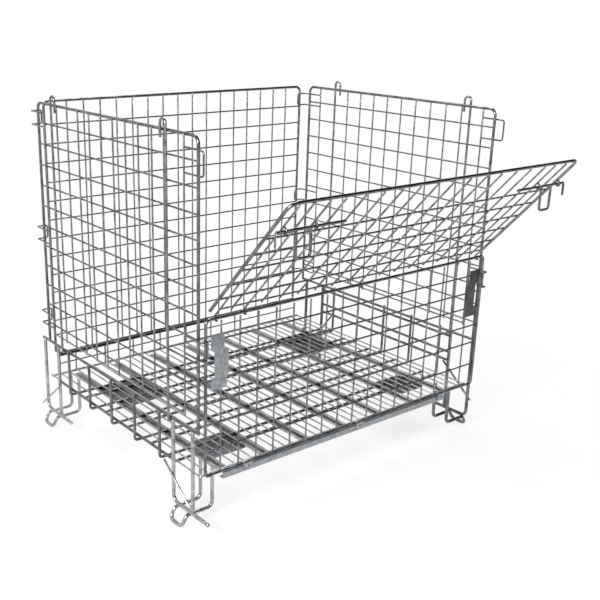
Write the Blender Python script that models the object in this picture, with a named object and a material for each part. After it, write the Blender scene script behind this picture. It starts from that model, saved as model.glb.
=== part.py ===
"""Folding wire mesh container: a zinc-plated steel cage on four bent-rod feet.

Metres, +Z up. The origin is on the floor under the middle of the base, X runs along the front,
and the front with its drop gate faces -Y. The walls stand up, and the gate leans open.
"""
import math

import bmesh
import bpy
from mathutils import Vector

# Wire and rod sizes
WIRE_R = 0.00275
ROD_R = 0.00475
BOLT_R = 0.004
STAPLE_R = 0.0025
BRACE_R = 0.0035
FOOT_R = 0.006
GAP = 0.0003
SIDES = 6
FLAT = math.cos(math.pi / SIDES)
BEND_STEPS = 3
CORNER_BEND = 0.022
POST_BEND = 2 * ROD_R
BOW_BEND = 2 * WIRE_R
TIE_PAST = 2 * WIRE_R
HOOP_START = ROD_R + GAP
SHARP_ANGLE = math.radians(40)

# Base
DECK_Z = 0.1785
DECK_PITCH = 0.0325
DECK_WIRES = 37
DECK_FRONT_Y = -0.450
HINGE_LIFT = 0.0005
RUNNER_PITCH = 0.1633
RUNNERS = 7
RUNNER_WIDTH = 0.020
RUNNER_THICK = 0.004
WELD_SINK = 0.4 * ROD_R
PLATE_SIZE_X = 0.160
PLATE_THICK = 0.0025
PLATE_X = 0.410
PLATE_BACK = (0.235, 0.190)
PLATE_FRONT = (-0.280, 0.130)

# Kerbs that the walls fold down onto
SIDE_X = 0.598
LEFT_KERB_Z = 0.322
RIGHT_KERB_Z = 0.350
KERB_FRONT_REACH = 0.4635
LEFT_KERB_BACK_REACH = 0.512
RIGHT_KERB_BACK_REACH = 0.4635
POST_PITCH = 0.143
POST_SHIFT = 0.015
POSTS = 5
POST_STAND = 0.006
POST_HOOK = 0.0355
LEFT_EDGE_Z = 0.188
RIGHT_EDGE_Z = 0.237
RIGHT_TWIN_DROP = 0.018
RIGHT_LOW_Z = 0.270
BACK_KERB_POSTS = 9
BACK_KERB_POST_PITCH = 0.1225
BACK_KERB_WIRE_Z = 0.218

# Feet
LEFT_FOOT_YS = (-0.432, 0.398)
RIGHT_FOOT_YS = (-0.432, 0.360)
FOOT_LEG_Y = 0.101
FOOT_STUB_Y = -0.080
FOOT_BAR_Z = 0.051
SKID_LEG_X = 0.513
SKID_LEG_YS = (0.021, 0.082)
SKID_REACH_X = 0.624
SKID_HEEL_OUT = 0.008
SKID_BEND = 0.018
BRACE_DROP = 0.012
LEFT_BRACES = ((0.139, 0.002, 0.072), (-0.017, 0.127, 0.060))
RIGHT_BRACES = ((0.150, 0.017, 0.056), (-0.032, 0.108, 0.112))

# Side walls
SIDE_TOP_Z = 1.158
SIDE_HALF_Y = 0.459
LEFT_CROSS_TOP_Z = 1.0945
LEFT_CROSS_PITCH = 0.0699
RIGHT_CROSS_TOP_Z = 1.0985
RIGHT_CROSS_PITCH = 0.0684
SIDE_CROSS = 11
SIDE_UPRIGHT_FIRST = 0.3135
SIDE_UPRIGHT_PITCH = 0.070
SIDE_UPRIGHTS = 9
SIDE_END_UPRIGHTS = (0.404, -0.403)
SIDE_LOOP_RODS = (0.3475, -0.320)
SIDE_TIE_V = 0.045
LOOP_RISE = 0.030
LOOP_WIDTH = 0.0265
LOOP_TAIL = 0.022
HOOK_SWEEP = math.radians(95)
CLIP_ZS = (1.1055, 0.7115, 0.407)
CLIP_TALL = 0.044
CLIP_BACK_U = (0.410, 0.4685)
KEEPER_Z = 1.0915
KEEPER_TALL = 0.067
KEEPER_U = (-0.408, -0.4635)
CATCH_Z = 0.5785
CATCH_TALL = 0.053

# Back wall
BACK_Y = 0.478
BACK_HINGE_Z = 0.260
BACK_TOP_Z = 1.157
BACK_HALF_X = 0.5655
BACK_UPRIGHTS = 16
BACK_UPRIGHT_PITCH = 0.0646
BACK_CROSS_LOW_ZS = (0.330, 0.385, 0.4495)
BACK_CROSS_FIRST_Z = 0.491
BACK_CROSS_PITCH = 0.0655
BACK_CROSS = 10
BACK_LUG_STEPS = (-7, -1, 7)

# Front half wall
FRONT_Y = -0.4697
FRONT_HALF_X = 0.5865
FRONT_RAIL_INSET = 0.0045
FRONT_BEND = 0.015
FRONT_EDGE_SPACE = 0.0585
FRONT_UPRIGHTS = 17
FRONT_CROSS_ZS = (0.267, 0.350, 0.415, 0.484, 0.540, 0.601)
FRONT_LUG_STEPS = (-6.5, 0.5, 6.5)
SILL_LEFT_X = -0.520
SILL_TALL = 0.020
SHEET = 0.002
LUG_WIDTH = 0.034
LUG_TAIL = 0.020
LATCH_SHEET = 0.0015
LATCH_ZS = (0.454, 0.485, 0.575, 0.620)
LATCH_FOOT_INSETS = (0.0725, 0.0175)
LATCH_BODY_INSETS = (0.0785, 0.0295)
LATCH_TOP_INSETS = (0.0635, 0.0175)

# Drop gate
GATE_HINGE_Z = 0.665
GATE_LEAN = math.radians(42.25)
GATE_LENGTH = 0.495
GATE_HALF_X = 0.5755
GATE_BEND = 0.026
GATE_CROSS_FIRST = 0.0834
GATE_CROSS_PITCH = 0.0685
GATE_CROSS = 5
GATE_UPRIGHT_PITCH = 0.0668
GATE_UPRIGHTS = 13
GATE_SIDE_UPRIGHTS = (0.452, 0.506, 0.552)
GATE_CURLS = (-0.552, -0.452, 0.0, 0.452, 0.552)
GATE_TIE_V = 0.035
GATE_START = 0.020
CURL_CLEAR = 0.001
BOLT_V = 0.407
BOLT_LAYER = 0.0035
BOLT_SPAN = (0.350, 0.582)
STAPLE_CLEAR = 0.00075
HANDLE_LEGS = (0.468, 0.516)
HANDLE_HANG = 0.075
HANDLE_BEND = 3 * BOLT_R

# Layers of crossed wires, each clear of the next
WIRE_LAYER = ROD_R + WIRE_R + GAP
CROSS_LAYER = WIRE_R * (1 + FLAT) + GAP
SEAT_LAYER = (ROD_R + WIRE_R) * FLAT + GAP
LOOP_LAYER = ROD_R + BOLT_R + GAP
ROD_LAYER = 2 * ROD_R + GAP

# Widths that follow from the front half wall's
FRONT_RAIL_HALF_X = FRONT_HALF_X - FRONT_RAIL_INSET
FRONT_UPRIGHT_PITCH = 2 * (FRONT_HALF_X - FRONT_EDGE_SPACE) / (FRONT_UPRIGHTS - 1)

# Heights that follow from the stack of the deck
CROSS_ROD_Z = DECK_Z - WIRE_R - GAP - ROD_R
RUNNER_TOP_Z = CROSS_ROD_Z - ROD_R + WELD_SINK
LOW_ROD_Z = RUNNER_TOP_Z - RUNNER_THICK - ROD_R + WELD_SINK
DECK_HALF_X = DECK_PITCH * (DECK_WIRES - 1) / 2
FRONT_HINGE_Z = DECK_Z + ROD_R + WIRE_R + HINGE_LIFT
BACK_KERB_Z = BACK_HINGE_Z - ROD_LAYER
POST_X = SIDE_X + ROD_LAYER
CROSS_ROD_END_X = POST_X - POST_HOOK - GAP

X_AXIS = Vector((1, 0, 0))
Y_AXIS = Vector((0, 1, 0))
Z_AXIS = Vector((0, 0, 1))


def steel(name, color, roughness):
    """A bare metal finish of one colour."""
    finish = bpy.data.materials.new(name)
    finish.use_nodes = True
    shader = finish.node_tree.nodes["Principled BSDF"]
    shader.inputs["Base Color"].default_value = (*color, 1.0)
    shader.inputs["Metallic"].default_value = 1.0
    shader.inputs["Roughness"].default_value = roughness
    return finish


class Wall:
    """A flat wall's own axes: u across it, v up from its hinge line, n out of the cage."""

    def __init__(self, origin, across, up, out):
        self.origin = Vector(origin)
        self.across = Vector(across)
        self.up = Vector(up)
        self.out = Vector(out)

    def at(self, u, v, n=0.0):
        return self.origin + self.across * u + self.up * v + self.out * n


def bent(points, radius):
    """The path through the points with each inner corner rounded to an arc."""
    path = [points[0]]
    for before, corner, after in zip(points, points[1:], points[2:]):
        into = (corner - before).normalized()
        away = (after - corner).normalized()
        turn = into.angle(away)
        reach = radius * math.tan(turn / 2)
        start = corner - into * reach
        side = (away - into * into.dot(away)).normalized()
        center = start + side * radius
        for step in range(BEND_STEPS + 1):
            angle = turn * step / BEND_STEPS
            path.append(center - side * radius * math.cos(angle) + into * radius * math.sin(angle))
    path.append(points[-1])
    return path


def arc(center, first, second, radius, sweep, steps):
    """Points on a circle from the first direction towards the second."""
    points = []
    for step in range(steps + 1):
        angle = sweep * step / steps
        points.append(center + (first * math.cos(angle) + second * math.sin(angle)) * radius)
    return points


def add_rod(bm, path, radius, flat, at=0):
    """Sweep a six-sided rod along the path; at one segment a flat of it faces the given way."""
    tangents = [(b - a).normalized() for a, b in zip(path, path[1:])]
    normals = [None] * len(tangents)
    normals[at] = (flat - tangents[at] * tangents[at].dot(flat)).normalized()
    for index in range(at + 1, len(tangents)):
        turn = tangents[index - 1].rotation_difference(tangents[index])
        normals[index] = turn @ normals[index - 1]
    for index in range(at - 1, -1, -1):
        turn = tangents[index + 1].rotation_difference(tangents[index])
        normals[index] = turn @ normals[index + 1]
    rings = []
    for index, point in enumerate(path):
        segment = min(index, len(tangents) - 1)
        tangent = tangents[segment]
        before = tangents[max(index - 1, 0)]
        mitre = (before + tangent).normalized()
        normal = normals[segment]
        binormal = tangent.cross(normal)
        ring = []
        for side in range(SIDES):
            angle = 2 * math.pi * (side + 0.5) / SIDES
            offset = (normal * math.cos(angle) + binormal * math.sin(angle)) * radius
            slide = -offset.dot(mitre) / tangent.dot(mitre)
            ring.append(bm.verts.new(point + offset + tangent * slide))
        rings.append(ring)
    bm.faces.new(list(reversed(rings[0])))
    bm.faces.new(rings[-1])
    for lower, upper in zip(rings, rings[1:]):
        for side in range(SIDES):
            after = (side + 1) % SIDES
            bm.faces.new((lower[side], lower[after], upper[after], upper[side]))


def add_prism(bm, outline, depth):
    """Extrude a closed outline by the depth vector."""
    face = bm.faces.new([bm.verts.new(point) for point in outline])
    made = bmesh.ops.extrude_face_region(bm, geom=[face])
    moved = [item for item in made["geom"] if isinstance(item, bmesh.types.BMVert)]
    bmesh.ops.translate(bm, vec=depth, verts=moved)
    bmesh.ops.recalc_face_normals(bm, faces=bm.faces[:])


def add_box(bm, low, high):
    """A box between two corners."""
    outline = [(low[0], low[1]), (high[0], low[1]), (high[0], high[1]), (low[0], high[1])]
    add_prism(bm, [Vector((x, y, low[2])) for x, y in outline], Z_AXIS * (high[2] - low[2]))


def add_piece(name, mesh, finish, origin):
    """Make the piece's object, with its origin on its axis or seat."""
    for vertex in mesh.vertices:
        vertex.co -= origin
    mesh.materials.clear()
    mesh.materials.append(finish)
    mesh.shade_smooth()
    mesh.set_sharp_from_angle(angle=SHARP_ANGLE)
    piece = bpy.data.objects.new(name, mesh)
    piece.location = origin
    bpy.context.scene.collection.objects.link(piece)
    return piece


def mesh_of(bm, name):
    """Turn the working mesh into a named one."""
    mesh = bpy.data.meshes.new(name)
    bm.to_mesh(mesh)
    bm.free()
    return mesh


def single(name, finish, origin, path, radius, flat, at=0):
    """A piece that is one bent rod."""
    bm = bmesh.new()
    add_rod(bm, path, radius, flat, at)
    return add_piece(name, mesh_of(bm, name), finish, origin)


def welded(name, finish, origin, carriers, carried):
    """A piece of carrying rods with others welded across them, joined into one body."""
    shells = []
    for part, rods in (("carriers", carriers), ("carried", carried)):
        bm = bmesh.new()
        for add, *shape in rods:
            add(bm, *shape)
        shell = bpy.data.objects.new(name + "_" + part, mesh_of(bm, name + "_" + part))
        bpy.context.scene.collection.objects.link(shell)
        shells.append(shell)
    weld = shells[0].modifiers.new("weld", "BOOLEAN")
    weld.operation = "UNION"
    weld.solver = "EXACT"
    weld.use_self = True
    weld.object = shells[1]
    bpy.context.view_layer.update()
    graph = bpy.context.evaluated_depsgraph_get()
    mesh = bpy.data.meshes.new_from_object(shells[0].evaluated_get(graph))
    for shell in shells:
        bpy.data.objects.remove(shell)
    mesh.name = name
    return add_piece(name, mesh, finish, origin)


def rod(path, radius, flat, at=0):
    """One rod of a welded piece."""
    return (add_rod, path, radius, flat, at)


def spread(count, pitch):
    """Places of equal pitch, centred on zero."""
    return [pitch * (index - (count - 1) / 2) for index in range(count)]


def bow(wall, rear, reach, z_middle, tall, n):
    """A wire hairpin that lies across a wall's edge: out, up and back."""
    low = z_middle - tall / 2 - wall.origin.z
    near, far = (rear * u for u in reach)
    points = [
        wall.at(near, low, n),
        wall.at(far, low, n),
        wall.at(far, low + tall, n),
        wall.at(near, low + tall, n),
    ]
    return bent(points, BOW_BEND)


def wall_frame(name, finish, wall, half, rise, n, bend, cross, cross_n, extras=()):
    """A wall's bent side-and-top rod with the cross wires that it carries."""
    start, top = rise
    corners = [(-half, start), (-half, top), (half, top), (half, start)]
    hoop = rod(bent([wall.at(u, v, n) for u, v in corners], bend), ROD_R, wall.out)
    wires = []
    for v in cross:
        wires.append(rod([wall.at(-half, v, cross_n), wall.at(half, v, cross_n)], WIRE_R, wall.up))
    welded(name, finish, wall.origin, [hoop], wires + list(extras))


def make_deck(finish):
    """The deck: wires front to back between two edge rods."""
    reach = DECK_HALF_X + WIRE_R + GAP
    edges = []
    for y in (DECK_FRONT_Y, BACK_Y):
        edges.append(rod([Vector((-reach, y, DECK_Z)), Vector((reach, y, DECK_Z))], ROD_R, Z_AXIS))
    wires = []
    for x in spread(DECK_WIRES, DECK_PITCH):
        ends = [Vector((x, DECK_FRONT_Y, DECK_Z)), Vector((x, BACK_Y, DECK_Z))]
        wires.append(rod(ends, WIRE_R, X_AXIS))
    welded("deck_mesh", finish, Vector((0, 0, DECK_Z)), edges, wires)


def post_ys(side):
    """Where the side kerb's posts stand; the right side is the left one turned about."""
    return [-side * (y + POST_SHIFT) for y in spread(POSTS, POST_PITCH)]


def make_underframe(finish):
    """Flat runners under the deck with cross rods welded over and under them."""
    runners = []
    for x in spread(RUNNERS, RUNNER_PITCH):
        low = (x - RUNNER_WIDTH / 2, DECK_FRONT_Y + ROD_R, RUNNER_TOP_Z - RUNNER_THICK)
        high = (x + RUNNER_WIDTH / 2, BACK_Y - ROD_R, RUNNER_TOP_Z)
        runners.append((add_box, low, high))
    rods = []
    for side, z in ((-1, CROSS_ROD_Z), (1, LOW_ROD_Z)):
        for y in post_ys(side):
            ends = [Vector((-CROSS_ROD_END_X, y, z)), Vector((CROSS_ROD_END_X, y, z))]
            rods.append(rod(ends, ROD_R, Y_AXIS))
    welded("underframe", finish, Vector((0, 0, RUNNER_TOP_Z)), runners, rods)


def make_plates(finish):
    """Four load plates hung under the lower cross rods."""
    top = LOW_ROD_Z - ROD_R - GAP
    for end, (y, length) in (("front", PLATE_FRONT), ("back", PLATE_BACK)):
        for side, word in ((-1, "left"), (1, "right")):
            bm = bmesh.new()
            x = side * PLATE_X
            low = (x - PLATE_SIZE_X / 2, y - length / 2, top - PLATE_THICK)
            high = (x + PLATE_SIZE_X / 2, y + length / 2, top)
            add_box(bm, low, high)
            name = "load_plate_" + end + "_" + word
            add_piece(name, mesh_of(bm, name), finish, Vector((x, y, top)))


def make_side_kerb(finish, side, word, kerb_z, edge_z, hook_z, back_reach, foot_ys):
    """A side kerb: its rail, the edge rod below and the posts outside both."""
    x = side * SIDE_X
    turned = -side

    def along(name, y_from, y_to, z):
        ends = [Vector((x, turned * y_from, z)), Vector((x, turned * y_to, z))]
        single(name, finish, ends[0], ends, ROD_R, Z_AXIS)

    along("kerb_rail_" + word, -KERB_FRONT_REACH, back_reach, kerb_z)
    leg_front = foot_ys[0] + FOOT_LEG_Y + FOOT_R + GAP
    leg_back = foot_ys[1] - FOOT_R - GAP
    along("edge_rod_" + word, leg_front, leg_back, edge_z)
    if side > 0:
        along("kerb_twin_rail_" + word, leg_front, leg_back, kerb_z - RIGHT_TWIN_DROP)
        along("kerb_low_rail_" + word, leg_front, leg_back, RIGHT_LOW_Z)
    for index, y in enumerate(post_ys(side)):
        points = [
            Vector((side * POST_X, y, kerb_z + POST_STAND)),
            Vector((side * POST_X, y, hook_z)),
            Vector((side * (POST_X - POST_HOOK), y, hook_z)),
        ]
        name = "kerb_post_" + word + "_" + str(index + 1)
        single(name, finish, points[0], bent(points, POST_BEND), ROD_R, Y_AXIS)


def make_back_kerb(finish):
    """The low ladder behind the deck that carries the back wall's hinge."""
    ends = (-BACK_HALF_X, BACK_HALF_X)
    rail = [Vector((x, BACK_Y, BACK_KERB_Z)) for x in ends]
    wire = [Vector((x, BACK_Y, BACK_KERB_WIRE_Z)) for x in ends]
    foot = DECK_Z + ROD_R + GAP
    posts = []
    for x in spread(BACK_KERB_POSTS, BACK_KERB_POST_PITCH):
        post = [Vector((x, BACK_Y, z)) for z in (foot, BACK_KERB_Z)]
        posts.append(rod(post, WIRE_R, Y_AXIS))
    carriers = [rod(rail, ROD_R, Z_AXIS), rod(wire, STAPLE_R, Z_AXIS)]
    welded("back_kerb", finish, rail[0], carriers, posts)


def make_sill(finish, wall):
    """The folded channel under the front half wall's hinge rail, ending at the last lug."""
    front = ROD_R
    rear = wall.origin.y - DECK_FRONT_Y + ROD_R + GAP
    top = -ROD_R - GAP
    low = top - SILL_TALL
    profile = [
        (rear, top), (front, top), (front, low), (rear, low), (rear, low + SHEET),
        (front - SHEET, low + SHEET), (front - SHEET, top - SHEET), (rear, top - SHEET),
    ]
    bm = bmesh.new()
    right = FRONT_LUG_STEPS[-1] * FRONT_UPRIGHT_PITCH + LUG_WIDTH / 2
    outline = [wall.at(SILL_LEFT_X, v, n) for n, v in profile]
    add_prism(bm, outline, wall.across * (right - SILL_LEFT_X))
    add_piece("front_sill", mesh_of(bm, "front_sill"), finish, wall.at(0, top))


def make_lugs(finish, wall, word, places):
    """Sheet straps that go over a wall's hinge rail and hold it down."""
    inner = ROD_R + GAP
    outer = inner + SHEET
    for index, u in enumerate(places):
        start = wall.at(u - LUG_WIDTH / 2, 0)
        rising = arc(start, wall.out, wall.up, outer, math.pi, 2 * BEND_STEPS)
        falling = arc(start, -wall.out, wall.up, inner, math.pi, 2 * BEND_STEPS)
        tail = -wall.up * LUG_TAIL
        outline = [rising[0] + tail] + rising + falling + [falling[-1] + tail]
        bm = bmesh.new()
        add_prism(bm, outline, wall.across * LUG_WIDTH)
        name = word + "_hinge_lug_" + str(index + 1)
        add_piece(name, mesh_of(bm, name), finish, wall.at(u, 0))


def make_foot(finish, side, y_middle, kerb_z, edge_z, word, brace):
    """One foot: a bent leg with its bar, post and brace, and the hairpin skid under the bar."""
    turned = -side
    x = side * SIDE_X
    top = kerb_z - ROD_R - GAP

    def spot(out_x, y, z):
        return Vector((side * out_x, turned * (y_middle + y), z))

    leg = [
        spot(SIDE_X, FOOT_LEG_Y, top),
        spot(SIDE_X, FOOT_LEG_Y, FOOT_BAR_Z),
        spot(SIDE_X, FOOT_STUB_Y, FOOT_BAR_Z),
    ]
    post = [spot(SIDE_X, 0, top), spot(SIDE_X, 0, FOOT_BAR_Z)]
    brace_x = SIDE_X + (FOOT_R + BRACE_R) * FLAT - WELD_SINK / 2
    high_y, low_y, low_z = brace
    strut = [spot(brace_x, high_y, edge_z - BRACE_DROP), spot(brace_x, low_y, low_z)]
    carriers = [rod(bent(leg, CORNER_BEND), FOOT_R, X_AXIS)]
    carried = [rod(post, FOOT_R, Y_AXIS), rod(strut, BRACE_R, X_AXIS)]
    welded("foot_frame_" + word, finish, Vector((x, turned * y_middle, FOOT_BAR_Z)), carriers, carried)

    heel_z = FOOT_BAR_Z - FOOT_R * (1 + FLAT) - GAP
    toe_z = FOOT_R * FLAT
    head_z = DECK_Z - ROD_R - GAP
    first, last = SKID_LEG_YS
    half = [
        (SKID_LEG_X, head_z),
        (SKID_LEG_X, heel_z),
        (SIDE_X + SKID_HEEL_OUT, heel_z),
        (SKID_REACH_X, toe_z),
    ]
    points = [spot(px, first, z) for px, z in half]
    points += [spot(px, last, z) for px, z in reversed(half)]
    path = bent(points, SKID_BEND)
    toe = len(path) // 2 - 1
    single("foot_skid_" + word, finish, spot(SKID_REACH_X, 0, toe_z), path, FOOT_R, Z_AXIS, toe)


def make_base(wire_finish, rod_finish, sheet_finish, plate_finish, front, back):
    """Everything that stays put: deck, kerbs, sill, hinge lugs and feet."""
    make_deck(wire_finish)
    make_underframe(rod_finish)
    make_plates(plate_finish)
    make_side_kerb(
        rod_finish, -1, "left", LEFT_KERB_Z, LEFT_EDGE_Z, CROSS_ROD_Z, LEFT_KERB_BACK_REACH, LEFT_FOOT_YS
    )
    make_side_kerb(
        rod_finish, 1, "right", RIGHT_KERB_Z, RIGHT_EDGE_Z, LOW_ROD_Z, RIGHT_KERB_BACK_REACH, RIGHT_FOOT_YS
    )
    make_back_kerb(rod_finish)
    make_sill(sheet_finish, front)
    make_lugs(sheet_finish, front, "front", [step * FRONT_UPRIGHT_PITCH for step in FRONT_LUG_STEPS])
    make_lugs(sheet_finish, back, "back", [step * BACK_UPRIGHT_PITCH for step in BACK_LUG_STEPS])
    left_feet = zip(LEFT_FOOT_YS, ("front_left", "back_left"), LEFT_BRACES)
    right_feet = zip(RIGHT_FOOT_YS, ("back_right", "front_right"), RIGHT_BRACES)
    for y, word, brace in left_feet:
        make_foot(rod_finish, -1, y, LEFT_KERB_Z, LEFT_EDGE_Z, word, brace)
    for y, word, brace in right_feet:
        make_foot(rod_finish, 1, y, RIGHT_KERB_Z, RIGHT_EDGE_Z, word, brace)


def make_side_wall(wire_finish, rod_finish, wall, word, rear, top_row, pitch):
    """A side wall that hooks over its kerb rail and folds inwards; rear is the way to the back."""
    top = SIDE_TOP_Z - wall.origin.z
    cross = [top_row - pitch * index - wall.origin.z for index in range(SIDE_CROSS)]
    skin = (ROD_R + WIRE_R) * FLAT - WELD_SINK / 2
    extras = []
    for z in CLIP_ZS:
        extras.append(rod(bow(wall, rear, CLIP_BACK_U, z, CLIP_TALL, skin), WIRE_R, wall.out))
    for z, tall in ((KEEPER_Z, KEEPER_TALL), (CATCH_Z, CATCH_TALL)):
        extras.append(rod(bow(wall, rear, KEEPER_U, z, tall, skin), WIRE_R, wall.out))
    name = word + "_wall_frame"
    cross_n = SEAT_LAYER - CROSS_LAYER
    wall_frame(name, rod_finish, wall, SIDE_HALF_Y, (HOOP_START, top), 0, CORNER_BEND, cross, cross_n, extras)

    n = LOOP_LAYER
    low = SIDE_TIE_V - WIRE_R - TIE_PAST
    places = list(SIDE_END_UPRIGHTS)
    places += [SIDE_UPRIGHT_FIRST - SIDE_UPRIGHT_PITCH * index for index in range(SIDE_UPRIGHTS)]
    uprights = []
    for u in places:
        uprights.append(rod([wall.at(u, low, SEAT_LAYER), wall.at(u, top, SEAT_LAYER)], WIRE_R, wall.out))
    for u in SIDE_LOOP_RODS:
        hook = arc(wall.at(u, 0), wall.out, -wall.up, n, HOOK_SWEEP, 2 * BEND_STEPS)
        inward = -math.copysign(1.0, u)
        head = wall.at(u + inward * LOOP_WIDTH / 2, top + LOOP_RISE - LOOP_WIDTH / 2, n)
        crown = arc(head, -inward * wall.across, wall.up, LOOP_WIDTH / 2, math.pi, 2 * BEND_STEPS)
        path = list(reversed(hook)) + crown + [wall.at(u + inward * LOOP_WIDTH, top - LOOP_TAIL, n)]
        uprights.append(rod(path, BOLT_R, wall.across, 0))
    tie_from = wall.at(min(SIDE_END_UPRIGHTS) - TIE_PAST, SIDE_TIE_V, WIRE_LAYER)
    tie_to = wall.at(max(SIDE_END_UPRIGHTS) + TIE_PAST, SIDE_TIE_V, WIRE_LAYER)
    tie = rod([tie_from, tie_to], WIRE_R, wall.up)
    welded(word + "_wall_uprights", wire_finish, wall.origin, [tie], uprights)


def make_back_wall(wire_finish, rod_finish, wall):
    """The back wall, hinged on its own bottom rail under the lugs."""
    top = BACK_TOP_Z - BACK_HINGE_Z
    zs = list(BACK_CROSS_LOW_ZS)
    zs += [BACK_CROSS_FIRST_Z + BACK_CROSS_PITCH * index for index in range(BACK_CROSS)]
    cross = [z - BACK_HINGE_Z for z in zs]
    rise = (HOOP_START, top)
    n = WIRE_LAYER
    wall_frame("back_wall_frame", rod_finish, wall, BACK_HALF_X, rise, n, CORNER_BEND, cross, CROSS_LAYER)
    rail = rod([wall.at(-BACK_HALF_X, 0), wall.at(BACK_HALF_X, 0)], ROD_R, wall.up)
    uprights = []
    for u in spread(BACK_UPRIGHTS, BACK_UPRIGHT_PITCH):
        uprights.append(rod([wall.at(u, 0), wall.at(u, top)], WIRE_R, wall.out))
    welded("back_wall_uprights", wire_finish, wall.origin, [rail], uprights)


def make_front_wall(wire_finish, rod_finish, sheet_finish, wall):
    """The front half wall; its top rail is the gate's hinge rod."""
    top = GATE_HINGE_Z - wall.origin.z
    cross = [z - wall.origin.z for z in FRONT_CROSS_ZS]
    rise = (HOOP_START, top)
    n = WIRE_LAYER
    wall_frame("front_wall_frame", rod_finish, wall, FRONT_HALF_X, rise, n, FRONT_BEND, cross, CROSS_LAYER)
    rail = rod([wall.at(-FRONT_RAIL_HALF_X, 0), wall.at(FRONT_RAIL_HALF_X, 0)], ROD_R, wall.up)
    under_curls = top - WIRE_LAYER - WIRE_R - CURL_CLEAR
    uprights = []
    for u in spread(FRONT_UPRIGHTS, FRONT_UPRIGHT_PITCH):
        uprights.append(rod([wall.at(u, 0), wall.at(u, under_curls)], WIRE_R, wall.out))
    welded("front_wall_uprights", wire_finish, wall.origin, [rail], uprights)

    foot, neck, shoulder, crown = LATCH_ZS
    n = CROSS_LAYER + WIRE_R + GAP
    low_x, wide_x = (FRONT_HALF_X - inset for inset in LATCH_FOOT_INSETS)
    body_x, waist_x = (FRONT_HALF_X - inset for inset in LATCH_BODY_INSETS)
    head_x, cheek_x = (FRONT_HALF_X - inset for inset in LATCH_TOP_INSETS)
    corners = [
        (low_x, foot), (wide_x, foot), (wide_x, neck), (waist_x, neck),
        (waist_x, shoulder), (cheek_x, shoulder), (cheek_x, crown), (head_x, crown),
        (head_x, shoulder), (body_x, shoulder), (body_x, neck), (low_x, neck),
    ]
    for side, word in ((-1, "left"), (1, "right")):
        bm = bmesh.new()
        outline = [wall.at(side * u, z - wall.origin.z, n) for u, z in corners]
        add_prism(bm, outline, wall.out * LATCH_SHEET)
        name = "latch_plate_" + word
        origin = wall.at(side * body_x, foot - wall.origin.z, n)
        add_piece(name, mesh_of(bm, name), sheet_finish, origin)


def make_gate(wire_finish, rod_finish, gate):
    """The drop gate, whose wires curl round the front wall's top rail."""
    cross = [GATE_CROSS_FIRST + GATE_CROSS_PITCH * index for index in range(GATE_CROSS)]
    n = -WIRE_LAYER
    hoop_n = n - WIRE_LAYER
    rise = (GATE_START, GATE_LENGTH)
    wall_frame("gate_frame", rod_finish, gate, GATE_HALF_X, rise, hoop_n, GATE_BEND, cross, n - CROSS_LAYER)
    places = spread(GATE_UPRIGHTS, GATE_UPRIGHT_PITCH)
    places += [side * u for u in GATE_SIDE_UPRIGHTS for side in (-1, 1)]
    curls = [u for u in places if any(abs(u - curl) < WIRE_R for curl in GATE_CURLS)]
    uprights = []
    for u in places:
        head = gate.at(u, GATE_LENGTH, n)
        if u in curls:
            ring = arc(gate.at(u, 0), -gate.out, -gate.up, WIRE_LAYER, math.pi, 2 * BEND_STEPS)
            path = list(reversed(ring)) + [head]
            uprights.append(rod(path, WIRE_R, gate.out, len(path) - 2))
        else:
            uprights.append(rod([gate.at(u, GATE_START, n), head], WIRE_R, gate.out))
    reach = max(GATE_SIDE_UPRIGHTS) + TIE_PAST
    tie = rod([gate.at(-reach, GATE_TIE_V, n), gate.at(reach, GATE_TIE_V, n)], WIRE_R, gate.up)
    welded("gate_uprights", wire_finish, gate.origin, [tie], uprights)


def make_bolts(finish, gate):
    """Each side's slide bolt, the two staples that guide it and the handle that hangs on it."""
    n = BOLT_LAYER
    hang = -Z_AXIS
    grip = STAPLE_R + BOLT_R + STAPLE_CLEAR
    seat = -WIRE_LAYER + WIRE_R + GAP
    for side, word in ((-1, "left"), (1, "right")):
        ends = [gate.at(side * u, BOLT_V, n) for u in BOLT_SPAN]
        single("bolt_" + word, finish, ends[0], ends, BOLT_R, gate.up)
        legs = [gate.at(side * u, BOLT_V, n) for u in HANDLE_LEGS]
        start = hang * (BOLT_R + GAP)
        drop = hang * HANDLE_HANG
        points = [legs[0] + start, legs[0] + drop, legs[1] + drop, legs[1] + start]
        single("bolt_handle_" + word, finish, legs[0], bent(points, HANDLE_BEND), BOLT_R, Y_AXIS)
        for place, u in (("inner", GATE_SIDE_UPRIGHTS[0]), ("outer", GATE_SIDE_UPRIGHTS[-1])):
            middle = gate.at(side * u, BOLT_V, n)
            round_bolt = arc(middle, gate.up, gate.out, grip, math.pi, 2 * BEND_STEPS)
            leg_ends = [gate.at(side * u, v, seat) for v in (BOLT_V + grip, BOLT_V - grip)]
            path = leg_ends[:1] + round_bolt + leg_ends[1:]
            single("bolt_staple_" + place + "_" + word, finish, middle, path, STAPLE_R, X_AXIS)


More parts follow.
